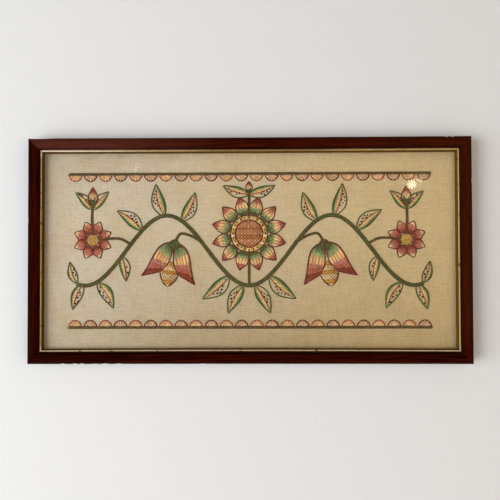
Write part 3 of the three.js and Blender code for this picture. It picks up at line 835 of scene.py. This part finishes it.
def linen_material():
    """Plain weave at the threads' own pitch, with slubs both ways, foxing, and painted warm light that makes
    it warmer to the right.
    It darkens towards the bottom, and towards the top most at the left, and painted shade darkens it further
    just under the top slip."""
    s = Shader("linen")
    x, _, z = s.split(s.place())
    up = s.plus(z, -CENTRE_Z)
    weave = s.times(s.sine(x, math.pi / WEAVE_PITCH), s.sine(z, math.pi / WEAVE_PITCH))
    threads = lambda stretch, detail, most: s.remap(s.noise(1.0, detail, 0.6, stretch), 0.3, 0.7, -most, most)
    slubs = s.plus(threads((0.045, 1, 0.72), 3, 1), threads((0.72, 1, 0.045), 3, 0.8))
    fines = s.plus(threads((0.2, 1, 2.0), 2, 1), threads((2.0, 1, 0.2), 2, 1))
    tone = s.plus(s.plus(s.plus(s.times(slubs, 0.09), s.times(fines, 0.08)), s.times(weave, 0.05)), 1.0)
    # Painted light: the linen turns warmer towards the right, as under a warm lamp there
    warm_light_to_right = s.remap(s.plus(x, s.times(s.noise(0.012, 2), 160)), -190, 330, smooth=True)
    ground = s.mix(warm_light_to_right, linear((0.79, 0.73, 0.645)), linear((0.80, 0.70, 0.52)))
    ground = s.over(ground, s.remap(s.noise(0.022, 4, 0.6), 0.42, 0.72, 0, 0.5), (0.75, 0.65, 0.49))
    low = s.math("POWER", s.remap(up, 60, -135), 1.5)
    low = s.times(low, s.times(s.remap(x, -240, -60, 0.5, 1), s.remap(x, 60, 240, 1, 0.8)))
    ground = s.tint(ground, low, (0.71, 0.68, 0.61))
    high = s.times(s.remap(up, 50, 120), s.remap(x, -60, -200, 0.2, 1))
    ground = s.tint(ground, high, (0.90, 0.905, 0.91))
    # Painted shade: the linen darkens just under the top slip, as in its shadow
    ground = s.tint(ground, s.remap(up, 114, 131), (0.84, 0.83, 0.81))
    ground = s.over(ground, s.remap(s.noise(0.33, 1, 0.4), 0.78, 0.84, 0, 0.5), (0.5, 0.40, 0.27))
    height = s.plus(s.plus(s.times(weave, 0.5), s.times(slubs, 0.35)), s.times(fines, 0.3))
    return s.surface(
        Base_Color=s.brighten(ground, tone), Roughness=0.95, Specular_IOR_Level=0.2, Sheen_Weight=0.1,
        Sheen_Roughness=0.5, Normal=s.bump(height, 0.22))


def mahogany_material(along_x):
    """Mahogany darkened with a stain, with its pores and grain along the rail, rubbed at the arrises, where a
    painted highlight lightens them too, and with painted shade at its edges. The top rail's left half is
    lighter, partly bleached varnish and partly a painted sheen; painted shade darkens the bottom rail's left
    half; and the wood is browner to the right."""
    s = Shader("mahogany_across" if along_x else "mahogany_upright")
    lengthways = lambda share: (share, 1, 1) if along_x else (1, 1, share)
    grain = s.noise(0.55, 6, 0.62, lengthways(0.035), 0.4)
    pores = s.remap(s.noise(2.4, 3, 0.6, lengthways(0.09)), 0.58, 0.7)
    colour = s.blend(grain, 0.37, 0.63, (0.07, 0.0, 0.0), (0.245, 0.055, 0.003))
    colour = s.over(colour, s.times(pores, 0.6), (0.07, 0.01, 0.005))
    x, _, z = s.split(s.place())
    browned = s.times(s.remap(x, 0, 240, 0, 0.36), s.remap(z, -270, -235))
    colour = s.over(colour, browned, (0.235, 0.10, 0.02))
    if along_x:
        # The top rail's left half is lighter: partly bleached varnish, partly a painted sheen
        faded_and_sheen = s.times(s.remap(x, 10, -230, smooth=True), s.remap(z, -60, -20, 0, 0.75))
        faded_and_sheen = s.times(faded_and_sheen, s.remap(grain, 0.25, 0.75, 0.7, 1.2))
        colour = s.over(colour, faded_and_sheen, (0.30, 0.15, 0.115))
        # Painted shade: the bottom rail darkens towards its left, where the key light falls strongly
        bottom_left_shade = s.times(s.remap(x, -40, -230, 0.45, 1, smooth=True), s.remap(z, -200, -240))
        colour = s.brighten(colour, s.remap(bottom_left_shade, 0, 1, 1, 0.5))
    else:
        colour = s.brighten(colour, s.remap(x, 0, -280, 1, 0.86))
    # Painted shade on the rails' edges, carried by the shade attribute
    colour = s.brighten(colour, s.remap(s.attribute("shade"), 0, 1, 1, 0.42))
    # The rubbed arrises and chips are lighter: partly worn varnish, partly a painted highlight along the
    # arris
    rub_and_highlight = s.times(s.attribute("wear"), s.remap(s.noise(0.35, 4, 0.7), 0.4, 0.62, 0.15, 1))
    colour = s.over(colour, s.times(rub_and_highlight, 0.4), (0.30, 0.15, 0.10))
    roughness = s.plus(s.remap(s.noise(0.08, 3, 0.6), 0.3, 0.7, 0.4, 0.52), s.times(rub_and_highlight, 0.2))
    height = s.math("SUBTRACT", s.times(grain, 0.6), s.times(pores, 0.5))
    return s.surface(
        Base_Color=colour, Roughness=roughness, Specular_IOR_Level=0.02, Normal=s.bump(height, 0.05))


def gilt_material():
    """Old gilding: granular and rubbed through to bole here and there, with painted shade darkening the top
    slip in its middle, a painted highlight lightening it at its left, and the bottom slip lighter too from
    the painted highlight."""
    s = Shader("gilt")
    grain = s.noise(1.1, 5, 0.75)
    colour = s.blend(grain, 0.35, 0.65, (0.57, 0.43, 0.24), (0.92, 0.79, 0.55))
    x, _, z = s.split(s.place())
    top = s.remap(z, -20, -13)
    # Painted highlight: the top slip's left and the whole bottom slip are lightened
    painted_highlight = s.plus(s.times(s.remap(x, -110, -240, 0, 0.85), top), s.remap(z, -262, -268, 0, 0.45))
    colour = s.over(colour, painted_highlight, (1.0, 0.93, 0.84))
    # Painted shade: the top slip is darkened and greyed in its middle, away from its highlights
    middle_shade = s.remap(s.math("ABSOLUTE", s.plus(x, -25)), 50, 130, 1, 0, smooth=True)
    colour = s.tint(colour, s.times(middle_shade, top), (0.58, 0.54, 0.58))
    worn = s.times(s.attribute("wear"), s.remap(s.noise(0.18, 4, 0.7), 0.58, 0.68))
    colour = s.over(colour, worn, (0.27, 0.13, 0.07))
    return s.surface(
        Base_Color=colour, Metallic=s.remap(worn, 0, 1, 0.5, 0.05),
        Roughness=s.remap(grain, 0.3, 0.7, 0.36, 0.56), Normal=s.bump(grain, 0.25))


def flank_material():
    """The slip's flank: size and bole that time has browned, with a trace of gold. On the bottom slip it also
    darkens the groove by the moulding, as painted shade.
    """
    s = Shader("gilt_flank")
    grain = s.noise(0.9, 5, 0.7)
    return s.surface(
        Base_Color=s.blend(grain, 0.35, 0.7, (0.25, 0.165, 0.02), (0.34, 0.25, 0.06)),
        Roughness=s.remap(grain, 0.3, 0.7, 0.5, 0.7), Specular_IOR_Level=0.1, Normal=s.bump(grain, 0.2))


def pane_material():
    """Picture glass: clear, with a mirror's share that grows towards grazing, and faint smears."""
    s = Shader("pane")
    smear = s.remap(s.noise(0.03, 3, 0.6, (0.3, 1, 1)), 0.35, 0.7, 0.045, 0.06)
    gloss = s.principled(Base_Color=(1.0, 1.0, 1.0, 1), Metallic=1.0, Roughness=smear)
    clear = s.add("ShaderNodeBsdfTransparent", {"Color": (0.996, 1.0, 0.998, 1)}).outputs[0]
    away = s.add("ShaderNodeLayerWeight", {"Blend": 0.5}).outputs["Facing"]
    share = s.plus(s.times(s.math("POWER", away, 5.0), 0.92), 0.04)
    return s.finish(s.seen_through(share, clear, gloss))


def hardboard_material():
    """Pressed fibre board with its mesh-marked back."""
    s = Shader("hardboard")
    x, _, z = s.split(s.place())
    ribs = [s.math("ABSOLUTE", s.sine(along, math.pi / BOARD_MESH_PITCH)) for along in (x, z)]
    fibres = s.noise(0.5, 5, 0.7)
    colour = s.blend(fibres, 0.3, 0.7, (0.42, 0.30, 0.19), (0.60, 0.46, 0.31))
    colour = s.over(colour, s.remap(s.noise(0.02, 4, 0.6), 0.5, 0.75, 0, 0.45), (0.34, 0.24, 0.16))
    height = s.plus(s.times(*ribs), s.times(fibres, 0.6))
    return s.surface(
        Base_Color=colour, Roughness=0.82, Specular_IOR_Level=0.3, Normal=s.bump(height, 0.25))


def steel_material():
    """Thin galvanised steel, dulled and lightly scratched."""
    s = Shader("steel")
    scratch = s.noise(1.4, 3, 0.7, (0.2, 1, 3))
    colour = s.blend(s.noise(0.45, 3, 0.6), 0.35, 0.65, (0.50, 0.50, 0.51), (0.68, 0.68, 0.67))
    return s.surface(
        Base_Color=colour, Metallic=0.85, Roughness=s.remap(scratch, 0.3, 0.7, 0.32, 0.55),
        Normal=s.bump(scratch, 0.03))


# Moulding

def quadratic(a, b, c, count):
    t = np.linspace(0, 1, count)[:, None]
    return (1 - t)**2 * np.array(a) + 2 * (1 - t) * t * np.array(b) + t**2 * np.array(c)


def rail_section(cut):
    """The moulding's outline, counted from the outer back edge, with no cut or with the slot for a point or
    the hanger's pocket. All three have the same number of points."""
    depth, outer = POCKET["depth"], POCKET["outer"]
    low, high, floor = POINT_SLOT["low"], POINT_SLOT["high"], REBATE_WALL - POINT_SLOT["in_wood"]
    back = [(EASED_BACK, 0), (outer, 0), (4, 0), (REBATE_WALL, 0)]
    wall = [(REBATE_WALL, v) for v in (low, 2.4, 2.8, high)]
    if cut == "pocket":
        back[2:] = [(outer, depth), (REBATE_WALL, depth)]
        wall = [(REBATE_WALL, depth + step) for step in (0.05, 0.1, 0.15, 0.2)]
    elif cut == "slot":
        wall[1:3] = [(floor, low), (floor, high)]
    lip = [(REBATE_WALL, 8), (REBATE_WALL, LIP_BACK), (12, LIP_BACK), (FACE_WIDTH - 0.2, LIP_BACK),
           (FACE_WIDTH, LIP_BACK + 0.2), (FACE_WIDTH, SIGHT_EDGE - 0.25)]
    fall = quadratic((FACE_WIDTH - 0.12, SIGHT_EDGE), FALL, SHOULDER, 9)
    u, v = ARRIS
    crown = quadratic(SHOULDER, ((SHOULDER[0] + u) / 2, CROWN_V), (u + 0.15, v), 13)[1:]
    step = [(u - 0.05, v - 0.08), (u - 0.1, v - ARRIS_STEP)]
    eased = quadratic((u - 0.25, v - ARRIS_STEP), EASED, (0, OUTER_SIDE_TOP), 9)
    side = [(0, 12), (0, 8), (0, 4), (0, EASED_BACK)]
    return np.concatenate([back, wall, lip, fall, crown, step, eased, side])


def slip_section(start, foot):
    """The slip's flange under the lip, its rounded bead and the hollowed flank that falls to the glass."""
    outer, inner, back, flange, shoulder, top = SLIP.values()
    middle = (start + inner) / 2
    bead = np.concatenate([
        quadratic((inner, shoulder), (inner, top), (middle, top), 6),
        quadratic((middle, top), (start, top), (start, shoulder), 6)[1:]])
    flank = quadratic((foot, back + 0.35), (inner + 0.35, 12.4), (inner, shoulder - 0.1), 6)
    under, over = [(outer, back), (foot - 0.1, back)], [(start, flange), (outer, flange)]
    return np.concatenate([under, flank, bead, over])


def turned(points, turn):
    """Points of the top side, turned about the frame's centre to another side."""
    a = math.radians(turn)
    x, y, z = points[..., 0], points[..., 1], points[..., 2]
    return np.stack([x * math.cos(a) + z * math.sin(a), y, z * math.cos(a) - x * math.sin(a)], -1)


def stations(length, step, cuts=()):
    """Places along a side with the cut of the section there. At a cut's ends there are two sections."""
    half = length / 2 - FACE_WIDTH - 3
    rows = [(x, 0, None) for x in np.linspace(-half, half, int(2 * half / step) + 1)
            if not any(a - 0.4 < x < b + 0.4 for a, b, _ in cuts)]
    for a, b, cut in cuts:
        rows += [(a, 0, None), (a, 1, cut), (b, 0, cut), (b, 1, None)]
    return [(x, cut) for x, _, cut in sorted(rows, key=lambda row: row[:2])]


def mitred_rings(length, sections):
    """Rings of a mitred length as along, u and v: square across in its middle and slanting at its ends."""
    rings = [np.concatenate([np.full((len(outline), 1), x), outline], 1) for x, outline in sections]
    slants = []
    for end, ring in ((-1, rings[0]), (1, rings[-1])):
        mitre = end * (length / 2 - ring[:, 1] - MITRE_GAP)
        slant = [ring.copy() for _ in MITRE_SHARES]
        for moved, share in zip(slant, MITRE_SHARES):
            moved[:, 0] = ring[:, 0] * (1 - share) + mitre * share
        slants.append(slant)
    return np.array(slants[0][::-1] + rings + slants[1])


def weathered(name, rings):
    """The rail's rings with a slight unevenness and with its chips, and how rubbed each point is, the arris's
    line standing partly for a painted highlight.
    """
    along, u, v = rings[..., 0], rings[..., 1].copy(), rings[..., 2].copy()
    phase = {"top": 0.4, "right": 1.7, "bottom": 3.1, "left": 4.6}[name]
    face = np.clip((v - LIP_BACK) / 3, 0, 1)
    v -= face * 0.06 * (1 + np.sin(along / 19 + phase)) * 0.5
    nearness = np.exp(-((u - 0.3) / 1.4)**2) * np.clip((v - 12) / 3, 0, 1)
    # The arris's line is partly rubbed varnish and partly a painted highlight
    wear = np.exp(-((u - ARRIS[0]) / 0.35)**2) * (v > 18) * 0.9 + 0.5 * nearness
    wear += 0.6 * np.exp(-((u - FACE_WIDTH) / 0.3)**2) * (v > SIGHT_EDGE - 0.3)
    for side, place, half_width, depth in CHIPS:
        if side == name:
            here = np.exp(-np.abs((along - place) / half_width)**4) * nearness
            u += here * depth
            v -= here * depth * 0.8
            wear = np.maximum(wear, np.minimum(here * 1.6, 1))
    return np.stack([along, u, v], -1), np.clip(wear, 0, 1)


def bowed(rings, length, bow):
    """The rings drawn in a little at the middle, as the stretched linen pulls them."""
    out = rings.copy()
    out[..., 1] += bow * (1 - (2 * rings[..., 0] / length)**2)
    return out


def lofted(name, rings, turn, edge, node, materials, wear, shade=None, parts=()):
    """A closed solid through its rings, turned to its side of the frame. The faces of the section that parts
    names have the second material."""
    n, m, _ = rings.shape
    points = turned(np.stack([rings[..., 0], -rings[..., 2], edge - rings[..., 1]], -1), turn)
    points[..., 2] += CENTRE_Z
    faces, _, column = grid_faces(n, m)
    piece = object_from(name, points.reshape(-1, 3) * MM, faces, wear=wear, shade=shade)
    piece.data.polygons.foreach_set("material_index", np.isin(column, parts).astype(np.int32))
    bm = bmesh.new()
    bm.from_mesh(piece.data)
    bm.verts.ensure_lookup_table()
    first = bm.faces.new([bm.verts[k] for k in range(m)])
    last = bm.faces.new([bm.verts[(n - 1) * m + k] for k in reversed(range(m))])
    bmesh.ops.triangulate(bm, faces=[first, last])
    bmesh.ops.remove_doubles(bm, verts=bm.verts, dist=1e-6)
    bmesh.ops.dissolve_degenerate(bm, edges=bm.edges, dist=1e-6)
    bmesh.ops.recalc_face_normals(bm, faces=bm.faces)
    bm.to_mesh(piece.data)
    bm.free()
    piece.data.polygons.foreach_set("use_smooth", np.ones(len(piece.data.polygons), bool))
    piece.data.set_sharp_from_angle(angle=math.radians(32))
    for material in materials:
        piece.data.materials.append(material)
    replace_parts(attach(piece, "root"), node)
    return piece


def make_rail(name, length, turn, edge, wood):
    """One rail of the moulding, with slots for its points and, at the top, the hanger's pocket."""
    half = POINT_SLOT["half_width"]
    cuts = [(x - half, x + half, "slot") for x in (POINTS_ALONG_TOP if name in BOW else POINTS_ALONG_SIDE)]
    if name == "top":
        cuts.append((-POCKET["half_length"], POCKET["half_length"], "pocket"))
    rings = mitred_rings(length, [(x, rail_section(cut)) for x, cut in stations(length, 1.5, cuts)])
    rings, wear = weathered(name, rings)
    reach, inner = EDGE_SHADE[name]
    u = rings[..., 1]
    outside, inside_edge = (reach - u) / reach * 1.8, (u - inner) / (15 - inner + 0.2)
    # Painted shade: the rails' edges are darkened where their slopes would light up brighter than the face
    painted_edge_shade = np.maximum(np.clip(outside, 0, 1), np.clip(inside_edge, 0, 1))
    rings = bowed(rings, length, BOW.get(name, (0, 0))[0])
    lofted(f"moulding_{name}", rings, turn, edge, f"rail_{name}", (wood,), wear, painted_edge_shade)


def make_slip(name, length, turn, edge, gilding):
    """One length of the gilt slip, its bead a little uneven."""
    outline = slip_section(*SLIP_EDGES[name])
    rings = mitred_rings(length, [(x, outline) for x, _ in stations(length, 0.9)])
    bead = np.clip((rings[..., 2] - 13.4) / 1.2, 0, 1)
    rings[..., 2] -= bead * (0.05 + jitter(bead.shape, 0.05))
    rings = bowed(rings, length, BOW.get(name, (0, 0))[1])
    # On the bottom slip the groove by the moulding takes the flank's dark colour as painted shade
    browned = FLANK_FACES + GROOVE_FACES if name == "bottom" else FLANK_FACES
    lofted(f"gilt_slip_{name}", rings, turn, edge, f"slip_{name}", gilding, bead, parts=browned)


def make_frame():
    across, upright = mahogany_material(True), mahogany_material(False)
    gilding = gilt_material(), flank_material()
    long, short = (FRAME_WIDTH, FRAME_HEIGHT / 2, across), (FRAME_HEIGHT, FRAME_WIDTH / 2, upright)
    sides = (("top", 0, long), ("right", 90, short), ("bottom", 180, long), ("left", 270, short))
    for name, turn, (length, edge, wood) in sides:
        make_rail(name, length, turn, edge, wood)
        make_slip(name, length, turn, edge, gilding)


# Linen

def make_linen():
    """The stretched linen: a thin sheet whose front swells a little towards the glass."""
    cells_x, cells_z = LINEN_CELLS
    x = np.linspace(-0.5, 0.5, cells_x + 1) * CLOTH_WIDTH
    z = np.linspace(-0.5, 0.5, cells_z + 1) * CLOTH_HEIGHT
    grid_x, grid_z = np.meshgrid(x, z, indexing="ij")
    front = on_cloth(np.stack([grid_x, grid_z, np.zeros_like(grid_x)], -1))
    back = front.copy()
    back[..., 1] = -CLOTH_BACK * MM
    verts = np.concatenate([front.reshape(-1, 3), back.reshape(-1, 3)])
    rows, count = cells_z + 1, (cells_x + 1) * (cells_z + 1)
    i, j = np.meshgrid(np.arange(cells_x), np.arange(cells_z), indexing="ij")
    a = (i * rows + j).ravel()
    face = np.stack([a, a + rows, a + rows + 1, a + 1], -1)
    rim = np.concatenate([
        np.arange(cells_x) * rows, cells_x * rows + np.arange(cells_z),
        np.arange(cells_x, 0, -1) * rows + cells_z, np.arange(cells_z, 0, -1)])
    rim_next = np.roll(rim, -1)
    sides = np.stack([rim, rim + count, rim_next + count, rim_next], -1)
    linen = object_from("linen", verts, np.concatenate([face, face[:, ::-1] + count, sides]))
    linen.data.materials.append(linen_material())
    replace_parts(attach(linen, "root"), "cloth")
    return linen


# Stage

def plane(name, corners, material):
    stage = object_from(name, corners, [[0, 1, 2, 3]])
    stage.data.materials.append(material)
    return stage


def stage_material(name, colour, from_front_only=False):
    """Matt paint with a faint roller texture. A wall that shows from its front only leaves the frame's back
    in view."""
    s = Shader(name)
    roller = s.bump(s.noise(0.25, 4, 0.6), 0.1)
    paint = s.principled(Base_Color=linear(colour), Roughness=0.9, Specular_IOR_Level=0.2, Normal=roller)
    if not from_front_only:
        return s.finish(paint)
    behind = s.add("ShaderNodeNewGeometry").outputs["Backfacing"]
    return s.finish(s.seen_through(behind, paint, s.add("ShaderNodeBsdfTransparent").outputs[0]))


def make_stage():
    reach, y, low, high = ROOM.values()
    wall = plane("wall", [(-reach, y, low), (reach, y, low), (reach, y, high), (-reach, y, high)],
                 stage_material("wall_paint", (0.806, 0.806, 0.808), True))
    wall.visible_shadow = False
    plane("floor", [(-reach, -reach, low), (reach, -reach, low), (reach, reach, low), (-reach, reach, low)],
          stage_material("floor_paint", (0.84, 0.83, 0.82)))


def area_light(name, place, size, power, colour):
    """A disc of light that faces the frame's centre."""
    data = bpy.data.lights.new(name, "AREA")
    data.shape = "DISK"
    data.size = size
    data.energy = power
    data.color = colour
    light = bpy.data.objects.new(name, data)
    light.location = place
    x, y, z = np.array((0, 0, CENTRE_Z * MM)) - np.array(place)
    light.rotation_euler = Euler((math.atan2(math.hypot(x, y), -z), 0, math.atan2(y, x) - math.pi / 2))
    light.visible_glossy = name not in ("key", "fill")
    bpy.context.collection.objects.link(light)


def make_light():
    """The lights, and a room that is bright in front of the wall and dim to the viewer's back."""
    for name, row in LIGHTS.items():
        area_light(name, *row)
    world = bpy.data.worlds.new("room")
    nodes = Nodes(world)
    way = nodes.add("ShaderNodeTexCoord").outputs["Generated"]
    strength = nodes.remap(nodes.split(way)["Y"], -0.95, -0.6, 0.06, 0.42, smooth=True)
    back = nodes.add("ShaderNodeBackground", {"Color": (1.0, 0.96, 0.90, 1), "Strength": strength})
    nodes.add("ShaderNodeOutputWorld", {"Surface": back.outputs[0]})
    bpy.context.scene.world = world
    bpy.context.scene.view_settings.view_transform = "Standard"


# The piece

def dress(name, material):
    """Gives a carried-over solid its finish."""
    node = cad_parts[name]
    node.data.materials.clear()
    node.data.materials.append(material)


make_frame()
linen = make_linen()
work_all()
stitches = [wools[colour].make() for colour in WOOL]
dress("glass", pane_material())
dress("backing_board", hardboard_material())
steel = steel_material()
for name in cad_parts:
    if name.startswith(("point_", "hanger_")):
        dress(name, steel)
make_stage()
make_light()
